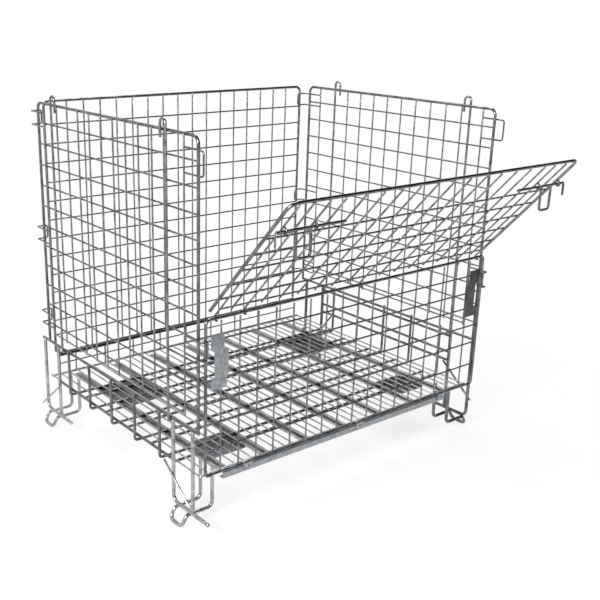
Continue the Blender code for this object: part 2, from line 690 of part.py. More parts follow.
def main():
    for thing in list(bpy.data.objects):
        bpy.data.objects.remove(thing)
    wire_finish = steel("zinc_wire", (0.56, 0.57, 0.58), 0.34)
    rod_finish = steel("zinc_rod", (0.50, 0.51, 0.52), 0.38)
    sheet_finish = steel("zinc_sheet", (0.58, 0.59, 0.60), 0.42)
    plate_finish = steel("dull_plate", (0.20, 0.20, 0.21), 0.55)

    left = Wall((-SIDE_X, 0, LEFT_KERB_Z), Y_AXIS, Z_AXIS, -X_AXIS)
    right = Wall((SIDE_X, 0, RIGHT_KERB_Z), -Y_AXIS, Z_AXIS, X_AXIS)
    back = Wall((0, BACK_Y, BACK_HINGE_Z), X_AXIS, Z_AXIS, Y_AXIS)
    front = Wall((0, FRONT_Y, FRONT_HINGE_Z), X_AXIS, Z_AXIS, -Y_AXIS)
    lean = Vector((0, -math.sin(GATE_LEAN), math.cos(GATE_LEAN)))
    face = Vector((0, -math.cos(GATE_LEAN), -math.sin(GATE_LEAN)))
    gate = Wall((0, FRONT_Y - WIRE_LAYER, GATE_HINGE_Z), X_AXIS, lean, face)

    make_base(wire_finish, rod_finish, sheet_finish, plate_finish, front, back)
    make_side_wall(wire_finish, rod_finish, left, "left", 1, LEFT_CROSS_TOP_Z, LEFT_CROSS_PITCH)
    make_side_wall(wire_finish, rod_finish, right, "right", -1, RIGHT_CROSS_TOP_Z, RIGHT_CROSS_PITCH)
    make_back_wall(wire_finish, rod_finish, back)
    make_front_wall(wire_finish, rod_finish, sheet_finish, front)
    make_gate(wire_finish, rod_finish, gate)
    make_bolts(rod_finish, gate)


main()
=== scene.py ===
"""Dresses the folding wire mesh container in round zinc-plated wire and pressed sheet.

Metres, +Z up, front with the drop gate towards -Y, in the same frame as the solids.
"""
import math

import bpy
from mathutils import Matrix, Vector


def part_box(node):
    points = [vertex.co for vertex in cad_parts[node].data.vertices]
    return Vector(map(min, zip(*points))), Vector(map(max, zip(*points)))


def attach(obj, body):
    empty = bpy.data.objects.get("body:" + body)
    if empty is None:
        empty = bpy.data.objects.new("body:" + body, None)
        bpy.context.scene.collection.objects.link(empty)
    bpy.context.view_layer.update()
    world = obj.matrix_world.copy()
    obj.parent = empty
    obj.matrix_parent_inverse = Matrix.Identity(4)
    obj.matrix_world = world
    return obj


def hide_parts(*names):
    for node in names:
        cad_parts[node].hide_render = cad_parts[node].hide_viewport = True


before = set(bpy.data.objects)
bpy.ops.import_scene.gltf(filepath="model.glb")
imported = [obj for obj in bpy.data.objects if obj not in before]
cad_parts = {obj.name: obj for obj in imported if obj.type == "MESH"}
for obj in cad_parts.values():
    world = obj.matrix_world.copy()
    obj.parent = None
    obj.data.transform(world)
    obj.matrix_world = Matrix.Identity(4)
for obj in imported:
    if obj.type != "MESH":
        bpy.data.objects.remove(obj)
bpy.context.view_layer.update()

X_AXIS = Vector((1, 0, 0))
Y_AXIS = Vector((0, 1, 0))
Z_AXIS = Vector((0, 0, 1))

# Drawn wire and rod
WIRE_R = 0.00275
ROD_R = 0.00475
BOLT_R = 0.004
STAPLE_R = 0.0025
BRACE_R = 0.0035
FOOT_R = 0.006
GAP = 0.0003
SINK = 0.0005
CORNER_BEND = 0.022
BEND_STEPS = 8
# A sheared end's rounding: how far from the end in radii, and the share of the radius left there
SHEARED_END = ((0.0, 0.6), (0.3, 0.93), (0.7, 1.0))
ROD_SIDES = 12
STOUT_ROD_SIDES = 16
# Sheet, and how far its edges are eased
SHEET = 0.002
PLATE_EDGE = 0.0006
STRAP_EDGE = 0.0005
RUNNER_EDGE = 0.0008

# Base
DECK_Z = 0.1785
DECK_PITCH = 0.0325
DECK_WIRES = 37
DECK_FRONT_Y = -0.450
DECK_TAIL = 0.010
RUNNER_PITCH = 0.1633
RUNNERS = 7
RUNNER_WIDTH = 0.020
RUNNER_THICK = 0.004
CROSS_ROD_Z = DECK_Z - WIRE_R - GAP - ROD_R
RUNNER_TOP_Z = CROSS_ROD_Z - 0.6 * ROD_R
LOW_ROD_Z = RUNNER_TOP_Z - RUNNER_THICK - 0.6 * ROD_R
PLATE_CORNER = 0.012
PLATE_CORNER_STEPS = 4

# Kerbs and feet
SIDE_X = 0.598
KERB_Z = {"left": 0.322, "right": 0.350}
EDGE_Z = {"left": 0.188, "right": 0.237}
KERB_FRONT_REACH = 0.4635
KERB_BACK_REACH = {"left": 0.512, "right": 0.4635}
TWIN_RAIL_DROP = 0.018
LOW_RAIL_Z = 0.270
POSTS = 5
POST_PITCH = 0.143
POST_SHIFT = 0.015
POST_PAST = 0.006
POST_BEND = 2.2 * ROD_R
POST_X = SIDE_X + 2 * ROD_R + GAP
POST_HOOK = 0.0355
CROSS_ROD_END_X = POST_X - POST_HOOK - GAP
BACK_KERB_WIRE_Z = 0.218
BACK_KERB_POSTS = 9
BACK_KERB_PITCH = 0.1225
# The right side is the left one turned about, so its feet come in the other order
FOOT_YS = {"left": (-0.432, 0.398), "right": (-0.432, 0.360)}
FOOT_WORDS = {"left": ("front_left", "back_left"), "right": ("back_right", "front_right")}
FOOT_LEG_Y = 0.101
FOOT_STUB_Y = -0.080
FOOT_BAR_Z = 0.051
SKID_LEG_X = 0.513
SKID_LEG_YS = (0.021, 0.082)
SKID_REACH_X = 0.624
SKID_HEEL_OUT = 0.008
SKID_BEND = 0.018
BRACE_DROP = 0.012
# Each foot's brace: its upper and lower place along the side, and its lower height
BRACES = {
    "left": ((0.139, 0.002, 0.072), (-0.017, 0.127, 0.060)),
    "right": ((0.150, 0.017, 0.056), (-0.032, 0.108, 0.112)),
}

# Layers of a wall, out from its plane
WIRE_LAYER = ROD_R + WIRE_R + GAP
LOOP_LAYER = ROD_R + BOLT_R + GAP
WELD_LAYER = ROD_R + WIRE_R - SINK
CROSS_LAYER = 2 * WIRE_R - SINK

# Side walls, each with its top cross wire's height and its pitch
SIDE_TOP_Z = 1.158
SIDE_HALF_Y = 0.459
SIDE_ROWS = {"left": (1.0945, 0.0699), "right": (1.0985, 0.0684)}
SIDE_ROW_COUNT = 11
SIDE_END_UPRIGHTS = [0.404, -0.403]
SIDE_UPRIGHT_FIRST = 0.3135
SIDE_UPRIGHT_PITCH = 0.070
SIDE_UPRIGHTS = 9
SIDE_UPRIGHT_FOOT = 0.037
SIDE_TIE_ENDS = (-0.4085, 0.4095)
SIDE_TIE_V = 0.045
LOOP_PLACES = (0.3475, -0.320)
LOOP_WIDTH = 0.0265
LOOP_RISE = 0.030
LOOP_END_DROP = 0.022
LOOP_HOOK = math.radians(95)

# Hooks on the side walls: clips round the back wall, a keeper for the bolt, a catch for the latch
HOOK_START = 0.405
HOOK_BEND = 0.007
CLIP_REACH = 0.4985
CLIP_TURN_IN = 0.030
CLIP_ZS = (1.1055, 0.7115, 0.407)
CLIP_HALF_Z = 0.022
KEEPER_REACH = 0.492
KEEPER_ZS = (1.058, 1.125)
KEEPER_BEND = 0.010
CATCH_REACH = 0.4855
CATCH_TURN_IN = 0.013
CATCH_ZS = (0.552, 0.605)

# Back wall
BACK_Y = 0.478
BACK_HINGE_Z = 0.260
BACK_TOP_Z = 1.157
BACK_HALF_X = 0.5655
BACK_LOW_ROWS = [0.330, 0.385, 0.4495]
BACK_ROW_FIRST = 0.491
BACK_ROW_PITCH = 0.0655
BACK_ROW_COUNT = 10
BACK_UPRIGHTS = 16
BACK_PITCH = 0.0646
BACK_LUG_STEPS = (-7, -1, 7)

# Front half wall
FRONT_Y = -0.4697
FRONT_HINGE_Z = 0.1865
FRONT_HALF_X = 0.5865
FRONT_BEND = 0.015
FRONT_FOOT_V = 0.002
FRONT_TUCK_X = 0.560
FRONT_TUCK_N = 0.004
FRONT_ROWS = (0.267, 0.350, 0.415, 0.484, 0.540, 0.601)
FRONT_RAIL_HALF_X = 0.572
FRONT_UPRIGHTS = 17
FRONT_PITCH = 0.066
FRONT_UPRIGHT_SHY = 0.001
FRONT_LUG_STEPS = (-6.5, 0.5, 6.5)

# Sill and hinge lugs
SILL_LEFT_X = -0.520
SILL_TALL = 0.020
SILL_SPOTS = (-0.33, -0.21, -0.09, 0.15, 0.27, 0.36)
SPOT_R = 0.0045
SPOT_RISE = 0.0009
LUG_WIDTH = 0.034
LUG_TAIL = 0.020
RIVET_DROP = 0.012
RIVET_R = 0.0055
RIVET_RISE = 0.0028

# Latch plates: half outline out from the middle and up from the floor, and the pressed rib
LATCH_OUTLINE = (
    (0.514, 0.454), (0.569, 0.454), (0.569, 0.485), (0.557, 0.490),
    (0.557, 0.570), (0.569, 0.575), (0.569, 0.620), (0.523, 0.620),
    (0.523, 0.575), (0.508, 0.570), (0.508, 0.490), (0.514, 0.485),
)
LATCH_THICK = 0.0015
LATCH_RIB_X = 0.5325
LATCH_RIB_Z = 0.5375
LATCH_RIB_LAYER = 0.0013
LATCH_RIB_HALF = (0.008, 0.0014, 0.055)

# Gate
GATE_HINGE_Z = 0.665
GATE_LEAN = math.radians(42.25)
GATE_LENGTH = 0.495
GATE_START = 0.020
GATE_HALF_X = 0.5755
GATE_BEND = 0.026
GATE_ROW_FIRST = 0.0834
GATE_ROW_PITCH = 0.0685
GATE_ROW_COUNT = 5
GATE_UPRIGHTS = 13
GATE_PITCH = 0.0668
GATE_SIDE_UPRIGHTS = (0.452, 0.506, 0.552)
GATE_CURLS = (-0.552, -0.452, 0.0, 0.452, 0.552)
GATE_TIE_HALF_X = 0.5575
GATE_TIE_V = 0.035

# Gate bolts
BOLT_V = 0.407
BOLT_LAYER = 0.0035
BOLT_SPAN = (0.350, 0.582)
HANDLE_LEGS = (0.468, 0.516)
HANDLE_HANG = 0.075
HANDLE_BEND = 3 * BOLT_R
NOSE_START = 0.574
NOSE_DROP = 0.038
NOSE_BEND = 0.006
STAPLE_PLACES = (("inner", 0.452), ("outer", 0.552))
STAPLE_PLAY = 0.0006

# Studio
FLOOR_SIZE = 2000.0
FLOOR_Z = -0.0005
FLOOR_PAINT = "#f7f7f7"
GLOW_NEAR = 0.75
GLOW_FAR = 1.9
GLOW_LEAST = 0.8
DARK_ROOM = Vector((0.20, -0.80, 0.56))
DARK_STARTS = -0.25
DARK_FULL = 0.4
DARK_LEVEL = 0.03
LAMP_AIM = Vector((0, 0, 0.5))
LAMPS = (
    ("key_lamp", (-3.2, -1.6, 2.2), 1.2, 170.0),
    ("top_lamp", (0.4, 0.8, 4.2), 2.0, 110.0),
)

# Camera
CAMERA_PLACE = (-1.9561, -2.3920, 1.4922)
CAMERA_AZIMUTH = math.radians(37.9414)
CAMERA_RISE = math.radians(18.5005)
CAMERA_ROLL = math.radians(0.9536)
CAMERA_SENSOR = 36.0
CAMERA_LENS = 55.38
CAMERA_SHIFT = (0.0968, 0.0118)


def linear(code):
    """An sRGB hex colour as linear red, green, blue and alpha."""
    channels = [int(code[i:i + 2], 16) / 255 for i in (1, 3, 5)]
    return [c / 12.92 if c <= 0.04045 else ((c + 0.055) / 1.055) ** 2.4 for c in channels] + [1.0]


def add_node(tree, kind, settings=(), sockets=()):
    """Add one node with its settings, and its sockets set or linked."""
    node = tree.nodes.new(kind)
    for name, value in dict(settings).items():
        setattr(node, name, value)
    for name, value in dict(sockets).items():
        if isinstance(value, bpy.types.NodeSocket):
            tree.links.new(value, node.inputs[name])
        else:
            node.inputs[name].default_value = value
    return node


def zinc(name, shade, light, rough, blotch_mm, grain_mm, dent):
    """Zinc plate over steel: grey metal in cloudy blotches, with a fine drawn or pressed grain."""
    finish = bpy.data.materials.new(name)
    finish.use_nodes = True
    tree = finish.node_tree
    shader = tree.nodes["Principled BSDF"]
    place = add_node(tree, "ShaderNodeTexCoord").outputs["Object"]
    cloud = add_node(tree, "ShaderNodeTexNoise", (), {
        "Vector": place, "Scale": 1000 / blotch_mm, "Detail": 4.0, "Roughness": 0.65})
    ramp = add_node(tree, "ShaderNodeValToRGB", (), {"Fac": cloud.outputs["Fac"]})
    ramp.color_ramp.elements[0].position = 0.32
    ramp.color_ramp.elements[0].color = linear(shade)
    ramp.color_ramp.elements[1].position = 0.68
    ramp.color_ramp.elements[1].color = linear(light)
    grain = add_node(tree, "ShaderNodeTexNoise", (), {
        "Vector": place, "Scale": 1000 / grain_mm, "Detail": 3.0, "Roughness": 0.6})
    dull = add_node(tree, "ShaderNodeMapRange", (), {
        "Value": grain.outputs["Fac"], "From Min": 0.3, "From Max": 0.7,
        "To Min": rough[0], "To Max": rough[1]})
    bump = add_node(tree, "ShaderNodeBump", (), {
        "Height": grain.outputs["Fac"], "Strength": dent, "Distance": 0.0003})
    tree.links.new(ramp.outputs["Color"], shader.inputs["Base Color"])
    tree.links.new(dull.outputs["Result"], shader.inputs["Roughness"])
    tree.links.new(bump.outputs["Normal"], shader.inputs["Normal"])
    shader.inputs["Metallic"].default_value = 1.0
    return finish


# Drawn wire, bright with slightly darker streaks where the plating is thin
ZINC_WIRE = zinc("zinc_plated_wire", "#5c5e60", "#a0a2a4", (0.16, 0.3), 24.0, 2.2, 0.15)
# Brighter wire and rod, on the deck wires, and on the left feet as painted light where they face the lit
# side of the room
BRIGHTER_ZINC_AND_PAINTED_LIGHT = zinc("brighter_zinc_and_painted_light", "#8a8c8e", "#c4c6c8", (0.2, 0.34), 24.0, 2.2, 0.15)
# Thicker rod, a little greyer, its plating clouded
ZINC_ROD = zinc("zinc_plated_rod", "#4e5052", "#8c8e90", (0.16, 0.3), 30.0, 2.6, 0.18)
# Pressed sheet, flatter sheen with larger spangle
ZINC_SHEET = zinc("zinc_plated_sheet", "#85888b", "#b4b7ba", (0.34, 0.5), 14.0, 3.0, 0.12)
# Dark mill-scale plate under the deck, also used on the right latch plate as a painted dark reflection
DULL_PLATE_AND_PAINTED_DARK_REFLECTION = zinc("dull_steel_plate_and_painted_dark_reflection", "#4a4b4d", "#6b6d70", (0.45, 0.62), 34.0, 4.0, 0.2)


class Wall:
    """A flat wall's own axes: u across it, v up from its hinge line, n out of the cage."""

    def __init__(self, origin, across, up, out):
        self.origin = Vector(origin)
        self.across = Vector(across)
        self.up = Vector(up)
        self.out = Vector(out)

    def at(self, u, v, n=0.0):
        return self.origin + self.across * u + self.up * v + self.out * n

    def level(self, u, z, n=0.0):
        return self.at(u, z - self.origin.z, n)


def bent(points, radius):
    """The path through the points with each inner corner rounded to an arc."""
    path = [points[0]]
    for before, corner, after in zip(points, points[1:], points[2:]):
        into = (corner - before).normalized()
        away = (after - corner).normalized()
        turn = into.angle(away)
        start = corner - into * radius * math.tan(turn / 2)
        side = (away - into * into.dot(away)).normalized()
        for step in range(BEND_STEPS + 1):
            angle = turn * step / BEND_STEPS
            rise = side * radius * (1 - math.cos(angle))
            path.append(start + rise + into * radius * math.sin(angle))
    path.append(points[-1])
    return path


def arc(center, first, second, radius, sweep):
    """Points on a circle from the first direction towards the second."""
    steps = max(4, round(2 * BEND_STEPS * abs(sweep) / math.pi))
    points = []
    for step in range(steps + 1):
        angle = sweep * step / steps
        points.append(center + (first * math.cos(angle) + second * math.sin(angle)) * radius)
    return points


def spread(count, pitch):
    """Places of equal pitch, centred on zero."""
    return [pitch * (index - (count - 1) / 2) for index in range(count)]


def finish_piece(piece, name, body, finish, replaced):
    """Name a modelled piece, give it its finish and let it ride on its body."""
    piece.name = name
    piece.data.name = name
    piece.data.materials.clear()
    piece.data.materials.append(finish)
    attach(piece, body)
    if replaced:
        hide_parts(*replaced)
    return piece


def lay_rods(name, body, finish, rods, replaced=(), sides=ROD_SIDES):
    """Draw the rods as curves, sweep them round, cut their ends and make them one mesh."""
    bpy.ops.object.select_all(action="DESELECT")
    bpy.ops.curve.primitive_bezier_curve_add()
    drawn = bpy.context.object
    drawn.data.splines.clear()
    for path, radius in rods:
        start = (path[1] - path[0]).normalized()
        end = (path[-1] - path[-2]).normalized()
        stations = [(path[0] + start * far * radius, share) for far, share in SHEARED_END]
        stations += [(point, 1.0) for point in path[1:-1]]
        stations += [(path[-1] - end * far * radius, share) for far, share in reversed(SHEARED_END)]
        spline = drawn.data.splines.new("POLY")
        spline.points.add(len(stations) - 1)
        for knot, (place, share) in zip(spline.points, stations):
            knot.co = (*place, 1.0)
            knot.radius = radius * share
    drawn.data.dimensions = "3D"
    drawn.data.fill_mode = "FULL"
    drawn.data.bevel_depth = 1.0
    drawn.data.bevel_resolution = (sides - 4) // 2
    drawn.data.use_fill_caps = True
    bpy.ops.object.convert(target="MESH")
    bpy.ops.object.shade_smooth_by_angle(angle=math.radians(50))
    return finish_piece(drawn, name, body, finish, replaced)


def press_sheet(outline, depth, edge):
    """Cut an outline, pull it to its thickness and ease its edges."""
    bpy.ops.object.select_all(action="DESELECT")
    bpy.ops.mesh.primitive_circle_add(vertices=len(outline), fill_type="NGON")
    piece = bpy.context.object
    for vertex, place in zip(piece.data.vertices, outline):
        vertex.co = place
    bpy.ops.object.mode_set(mode="EDIT")
    bpy.ops.mesh.select_all(action="SELECT")
    bpy.ops.mesh.extrude_region_move(TRANSFORM_OT_translate={"value": depth})
    bpy.ops.mesh.select_all(action="SELECT")
    bpy.ops.mesh.normals_make_consistent(inside=False)
    bpy.ops.object.mode_set(mode="OBJECT")
    ease = piece.modifiers.new("eased_edges", "BEVEL")
    ease.width = edge
    ease.segments = 2
    ease.limit_method = "ANGLE"
    ease.angle_limit = math.radians(40)
    bpy.ops.object.modifier_apply(modifier=ease.name)
    bpy.ops.object.shade_smooth_by_angle(angle=math.radians(40))
    return piece


def dome(place, radius, height, way):
    """A low round head, as of a rivet or a weld, standing on a surface."""
    bpy.ops.object.select_all(action="DESELECT")
    bpy.ops.mesh.primitive_uv_sphere_add(segments=12, ring_count=8, radius=1.0)
    head = bpy.context.object
    turn = way.to_track_quat("Z", "Y").to_matrix().to_4x4()
    shape = Matrix.Translation(place) @ turn @ Matrix.Diagonal((radius, radius, height, 1.0))
    head.data.transform(shape)
    bpy.ops.object.shade_smooth()
    return head


def join_pieces(pieces):
    """Join the made pieces into the first."""
    bpy.ops.object.select_all(action="DESELECT")
    for piece in pieces:
        piece.select_set(True)
    bpy.context.view_layer.objects.active = pieces[0]
    bpy.ops.object.join()
    return pieces[0]


def hoop(wall, half, top, n, bend, start):
    """The bent rod round a wall's sides and top."""
    corners = [(-half, start), (-half, top), (half, top), (half, start)]
    return bent([wall.at(u, v, n) for u, v in corners], bend), ROD_R


left = Wall((-SIDE_X, 0, KERB_Z["left"]), Y_AXIS, Z_AXIS, -X_AXIS)
right = Wall((SIDE_X, 0, KERB_Z["right"]), -Y_AXIS, Z_AXIS, X_AXIS)
back = Wall((0, BACK_Y, BACK_HINGE_Z), X_AXIS, Z_AXIS, Y_AXIS)
front = Wall((0, FRONT_Y, FRONT_HINGE_Z), X_AXIS, Z_AXIS, -Y_AXIS)
lean = Vector((0, -math.sin(GATE_LEAN), math.cos(GATE_LEAN)))
face = Vector((0, -math.cos(GATE_LEAN), -math.sin(GATE_LEAN)))
gate = Wall((0, FRONT_Y - WIRE_LAYER, GATE_HINGE_Z), X_AXIS, lean, face)


def post_ys(side):
    """Where the side kerb's posts stand; the right side is the left one turned about."""
    return [-side * (y + POST_SHIFT) for y in spread(POSTS, POST_PITCH)]


def lay_deck():
    """The deck's wires on their edge rods, and the flat runners and cross rods under them."""
    reach = DECK_PITCH * (DECK_WIRES - 1) / 2 + WIRE_R
    rods = []
    for y in (DECK_FRONT_Y, BACK_Y):
        rods.append(([Vector((-reach, y, DECK_Z)), Vector((reach, y, DECK_Z))], ROD_R))
    for x in spread(DECK_WIRES, DECK_PITCH):
        ends = [Vector((x, y, DECK_Z)) for y in (DECK_FRONT_Y - ROD_R, BACK_Y + DECK_TAIL)]
        rods.append((ends, WIRE_R))
    lay_rods("deck_wires", "base", BRIGHTER_ZINC_AND_PAINTED_LIGHT, rods, ["deck_mesh"])

    rods = []
    for side, z in ((-1, CROSS_ROD_Z), (1, LOW_ROD_Z)):
        for y in post_ys(side):
            rods.append(([Vector((-CROSS_ROD_END_X, y, z)), Vector((CROSS_ROD_END_X, y, z))], ROD_R))
    lay_rods("deck_cross_rods", "base", ZINC_ROD, rods, ["underframe"])
    bars = []
    for x in spread(RUNNERS, RUNNER_PITCH):
        low = RUNNER_TOP_Z - RUNNER_THICK
        corners = [(-1, low), (1, low), (1, RUNNER_TOP_Z), (-1, RUNNER_TOP_Z)]
        outline = [Vector((x + s * RUNNER_WIDTH / 2, DECK_FRONT_Y + ROD_R, z)) for s, z in corners]
        bars.append(press_sheet(outline, Y_AXIS * (BACK_Y - DECK_FRONT_Y - 2 * ROD_R), RUNNER_EDGE))
    finish_piece(join_pieces(bars), "deck_runners", "base", ZINC_ROD, ["underframe"])


def lay_load_plates():
    """Four plates under the deck, with rounded corners."""
    for end in ("front", "back"):
        for word in ("left", "right"):
            corner_word = end + "_" + word
            node = "load_plate_" + corner_word
            low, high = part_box(node)
            corners = ((high.x, high.y), (low.x, high.y), (low.x, low.y), (high.x, low.y))
            outline = []
            for quarter, (x, y) in enumerate(corners):
                middle = Vector((x - math.copysign(PLATE_CORNER, x - (low.x + high.x) / 2),
                                 y - math.copysign(PLATE_CORNER, y - (low.y + high.y) / 2), low.z))
                for step in range(PLATE_CORNER_STEPS + 1):
                    angle = math.radians(90 * (quarter + step / PLATE_CORNER_STEPS))
                    outline.append(middle + Vector((math.cos(angle), math.sin(angle), 0)) * PLATE_CORNER)
            plate = press_sheet(outline, Z_AXIS * (high.z - low.z), PLATE_EDGE)
            finish_piece(plate, "deck_plate_" + corner_word, "base", DULL_PLATE_AND_PAINTED_DARK_REFLECTION, [node])


def lay_side_kerb(side, word):
    """A side kerb: its rails and the posts that hook in under the deck."""
    x = side * SIDE_X
    rods = []
    nodes = ["kerb_rail_" + word, "edge_rod_" + word]

    def along(y_from, y_to, z):
        rods.append(([Vector((x, -side * y_from, z)), Vector((x, -side * y_to, z))], ROD_R))

    leg_front = FOOT_YS[word][0] + FOOT_LEG_Y + FOOT_R
    leg_back = FOOT_YS[word][1] - FOOT_R
    along(-KERB_FRONT_REACH, KERB_BACK_REACH[word], KERB_Z[word])
    along(leg_front, leg_back, EDGE_Z[word])
    if side > 0:
        along(leg_front, leg_back, KERB_Z[word] - TWIN_RAIL_DROP)
        along(leg_front, leg_back, LOW_RAIL_Z)
        nodes += ["kerb_twin_rail_right", "kerb_low_rail_right"]
    hook_z = CROSS_ROD_Z if side < 0 else LOW_ROD_Z
    for index, y in enumerate(post_ys(side)):
        points = [
            Vector((side * POST_X, y, KERB_Z[word] + POST_PAST)),
            Vector((side * POST_X, y, hook_z)),
            Vector((side * (POST_X - POST_HOOK), y, hook_z)),
        ]
        rods.append((bent(points, POST_BEND), ROD_R))
        nodes.append("kerb_post_" + word + "_" + str(index + 1))
    lay_rods("kerb_" + word, "base", ZINC_ROD, rods, nodes)


def lay_back_kerb():
    """The low ladder behind the deck under the back wall's hinge."""
    rail_z = BACK_HINGE_Z - 2 * ROD_R - GAP
    rods = []
    for z, radius in ((rail_z, ROD_R), (BACK_KERB_WIRE_Z, STAPLE_R)):
        rods.append(([Vector((-BACK_HALF_X, BACK_Y, z)), Vector((BACK_HALF_X, BACK_Y, z))], radius))
    for x in spread(BACK_KERB_POSTS, BACK_KERB_PITCH):
        rods.append(([Vector((x, BACK_Y, DECK_Z + ROD_R)), Vector((x, BACK_Y, rail_z))], WIRE_R))
    lay_rods("back_kerb_ladder", "base", ZINC_ROD, rods, ["back_kerb"])


def bend_foot(side, y_middle, edge_z, kerb_z, word, brace):
    """One foot: a bent leg with its bar, post and thin brace, and the hairpin skid under it."""

    def spot(out_x, y, z):
        return Vector((side * out_x, -side * (y_middle + y), z))

    top = kerb_z - ROD_R
    corners = [(FOOT_LEG_Y, top), (FOOT_LEG_Y, FOOT_BAR_Z), (FOOT_STUB_Y, FOOT_BAR_Z)]
    leg = [spot(SIDE_X, y, z) for y, z in corners]
    post = [spot(SIDE_X, 0, top), spot(SIDE_X, 0, FOOT_BAR_Z)]
    brace_x = SIDE_X + FOOT_R + BRACE_R - SINK
    high_y, low_y, low_z = brace
    strut = [spot(brace_x, high_y, edge_z - BRACE_DROP), spot(brace_x, low_y, low_z)]
    heel_z = FOOT_BAR_Z - 2 * FOOT_R + SINK
    half = [
        (SKID_LEG_X, DECK_Z - ROD_R),
        (SKID_LEG_X, heel_z),
        (SIDE_X + SKID_HEEL_OUT, heel_z),
        (SKID_REACH_X, FOOT_R),
    ]
    points = [spot(x, SKID_LEG_YS[0], z) for x, z in half]
    points += [spot(x, SKID_LEG_YS[1], z) for x, z in reversed(half)]
    rods = [
        (bent(leg, CORNER_BEND), FOOT_R),
        (post, FOOT_R),
        (strut, BRACE_R),
        (bent(points, SKID_BEND), FOOT_R),
    ]
    nodes = ["foot_frame_" + word, "foot_skid_" + word]
    # Painted light: the left feet, on the lit side of the room, get the brighter zinc, while the feet on
    # the right, on the dark side, keep the plain rod finish
    look = BRIGHTER_ZINC_AND_PAINTED_LIGHT if side < 0 else ZINC_ROD
    lay_rods("foot_" + word, "base", look, rods, nodes, STOUT_ROD_SIDES)


def press_sill():
    """The folded channel under the front up to the last lug, with weld spots along its web."""
    rear = FRONT_Y - DECK_FRONT_Y + ROD_R + GAP
    ahead = ROD_R
    top = -ROD_R - GAP
    low = top - SILL_TALL
    profile = [
        (rear, top), (ahead, top), (ahead, low), (rear, low), (rear, low + SHEET),
        (ahead - SHEET, low + SHEET), (ahead - SHEET, top - SHEET), (rear, top - SHEET),
    ]
    right_x = FRONT_LUG_STEPS[-1] * FRONT_PITCH + LUG_WIDTH / 2
    outline = [front.at(SILL_LEFT_X, v, n) for n, v in profile]
    parts = [press_sheet(outline, X_AXIS * (right_x - SILL_LEFT_X), PLATE_EDGE)]
    for u in SILL_SPOTS:
        parts.append(dome(front.at(u, top - SILL_TALL / 2, ahead), SPOT_R, SPOT_RISE, -Y_AXIS))
    channel = join_pieces(parts)
    finish_piece(channel, "front_channel", "base", ZINC_SHEET, ["front_sill"])


def press_lugs(wall, word, places):
    """Sheet straps over a wall's hinge rail, each with a rivet through its tails."""
    inner = ROD_R + GAP
    outer = inner + SHEET
    for index, u in enumerate(places, 1):
        start = wall.at(u - LUG_WIDTH / 2, 0)
        rising = arc(start, wall.out, wall.up, outer, math.pi)
        falling = arc(start, -wall.out, wall.up, inner, math.pi)
        tail = -wall.up * LUG_TAIL
        outline = [rising[0] + tail] + rising + falling + [falling[-1] + tail]
        strap = press_sheet(outline, wall.across * LUG_WIDTH, STRAP_EDGE)
        rivet = dome(wall.at(u, -RIVET_DROP, outer), RIVET_R, RIVET_RISE, wall.out)
        node = word + "_hinge_lug_" + str(index)
        name = word + "_hinge_strap_" + str(index)
        finish_piece(join_pieces([strap, rivet]), name, "base", ZINC_SHEET, [node])


def weave_side_wall(wall, word, rear):
    """A side wall: hoop and cross wires, hooks to its neighbours, and uprights with lifting loops."""
    top = SIDE_TOP_Z - wall.origin.z
    body = word + "_wall"
    n = WELD_LAYER
    cross_n = n - CROSS_LAYER
    rods = [hoop(wall, SIDE_HALF_Y, top, 0, CORNER_BEND, ROD_R)]
    top_row, pitch = SIDE_ROWS[word]
    for index in range(SIDE_ROW_COUNT):
        v = top_row - pitch * index - wall.origin.z
        rods.append(([wall.at(-SIDE_HALF_Y, v, cross_n), wall.at(SIDE_HALF_Y, v, cross_n)], WIRE_R))

    def hook(stations, z_low, z_high, bend):
        down = [wall.level(rear * u, z_low, out) for u, out in stations]
        up = [wall.level(rear * u, z_high, out) for u, out in reversed(stations)]
        rods.append((bent(down + up, bend), WIRE_R))

    clip = [(HOOK_START, n), (CLIP_REACH, n), (CLIP_REACH, -CLIP_TURN_IN)]
    for z in CLIP_ZS:
        hook(clip, z - CLIP_HALF_Z, z + CLIP_HALF_Z, HOOK_BEND)
    hook([(-HOOK_START, n), (-KEEPER_REACH, n)], *KEEPER_ZS, KEEPER_BEND)
    catch = [(-HOOK_START, n), (-CATCH_REACH, n), (-CATCH_REACH, -CATCH_TURN_IN)]
    hook(catch, *CATCH_ZS, HOOK_BEND)
    lay_rods(word + "_wall_hoop", body, ZINC_ROD, rods, [word + "_wall_frame"])

    places = list(SIDE_END_UPRIGHTS)
    places += [SIDE_UPRIGHT_FIRST - SIDE_UPRIGHT_PITCH * index for index in range(SIDE_UPRIGHTS)]
    rods = [([wall.at(u, SIDE_UPRIGHT_FOOT, n), wall.at(u, top, n)], WIRE_R) for u in places]
    rods.append(([wall.at(u, SIDE_TIE_V, WIRE_LAYER) for u in SIDE_TIE_ENDS], WIRE_R))
    for u in LOOP_PLACES:
        inward = -math.copysign(1.0, u)
        tail = arc(wall.at(u, 0), wall.out, -wall.up, LOOP_LAYER, LOOP_HOOK)
        head = wall.at(u + inward * LOOP_WIDTH / 2, top + LOOP_RISE - LOOP_WIDTH / 2, LOOP_LAYER)
        crown = arc(head, -inward * wall.across, wall.up, LOOP_WIDTH / 2, math.pi)
        end = wall.at(u + inward * LOOP_WIDTH, top - LOOP_END_DROP, LOOP_LAYER)
        rods.append((list(reversed(tail)) + crown + [end], BOLT_R))
    lay_rods(word + "_wall_wires", body, ZINC_WIRE, rods, [word + "_wall_uprights"])


